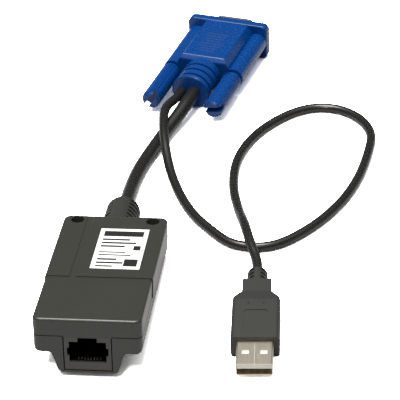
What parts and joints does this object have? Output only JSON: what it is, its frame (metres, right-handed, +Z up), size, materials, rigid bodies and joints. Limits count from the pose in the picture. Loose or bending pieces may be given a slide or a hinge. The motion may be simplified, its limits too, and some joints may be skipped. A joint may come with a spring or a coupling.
{
  "type": "kvm dongle",
  "caption": "Server interface module: black two-shell housing with a modular jack, corded to a blue moulded video plug with thumbscrews, and on by a thin cord to a USB plug.",
  "frame": {"origin": "under the middle of the module and its boot, on the surface that the part lies on", "axes": "+Z up; +Y from the jack face along the module to its cord boot; +X to the right seen from the jack"},
  "size_m": [0.1051, 0.2271, 0.022],
  "materials": {
    "housing_black": "fine moulded texture, satin",
    "black_steel": "black oxide",
    "label_film": "smooth white film",
    "jack_black": "smooth satin",
    "gold_contact": "gold-plated, bright",
    "board_green": "solder mask",
    "chip_black": "moulded epoxy",
    "crystal_steel": "drawn can",
    "capacitor_can": "drawn can",
    "header_plastic": "natural nylon",
    "lead_insulation": "smooth insulation",
    "cord_black": "smooth satin jacket",
    "hood_blue": "moulded, satin sheen",
    "plated_steel": "bright nickel plating",
    "insulator_blue": "smooth",
    "plug_black": "moulded, satin",
    "insulator_white": "smooth"
  },
  "bodies": {
    "root": {"upper_shell": "housing_black", "lower_shell": "housing_black", "housing_screw_left": "black_steel", "housing_screw_right": "black_steel", "blank_label": "label_film", "jack_housing": "jack_black", "jack_contacts": "gold_contact", "circuit_board": "board_green", "controller_chip": "chip_black", "line_driver_chip": "chip_black", "crystal": "crystal_steel", "board_capacitors": "capacitor_can", "board_header": "header_plastic", "inner_leads": "lead_insulation", "cord_boot": "cord_black", "module_cord": "cord_black", "usb_cord": "cord_black", "video_hood": "hood_blue", "video_shell": "plated_steel", "video_insulator": "insulator_blue", "video_pins": "gold_contact", "usb_overmould": "plug_black", "usb_shell": "plated_steel", "usb_insulator": "insulator_white", "usb_contacts": "gold_contact"},
    "left_thumbscrew": {"thumbscrew_left_knob": "hood_blue", "thumbscrew_left_shaft": "plated_steel"},
    "right_thumbscrew": {"thumbscrew_right_knob": "hood_blue", "thumbscrew_right_shaft": "plated_steel"}
  },
  "joints": [
    {"name": "left_thumbscrew_turn", "type": "hinge", "parent": "root", "child": "left_thumbscrew", "pos_m": [0.00972, 0.15643, 0.0072], "axis": [0.2368, 0.9715, 0], "continuous": true},
    {"name": "right_thumbscrew_turn", "type": "hinge", "parent": "root", "child": "right_thumbscrew", "pos_m": [0.034, 0.15051, 0.0072], "axis": [0.2368, 0.9715, 0], "continuous": true}
  ]
}
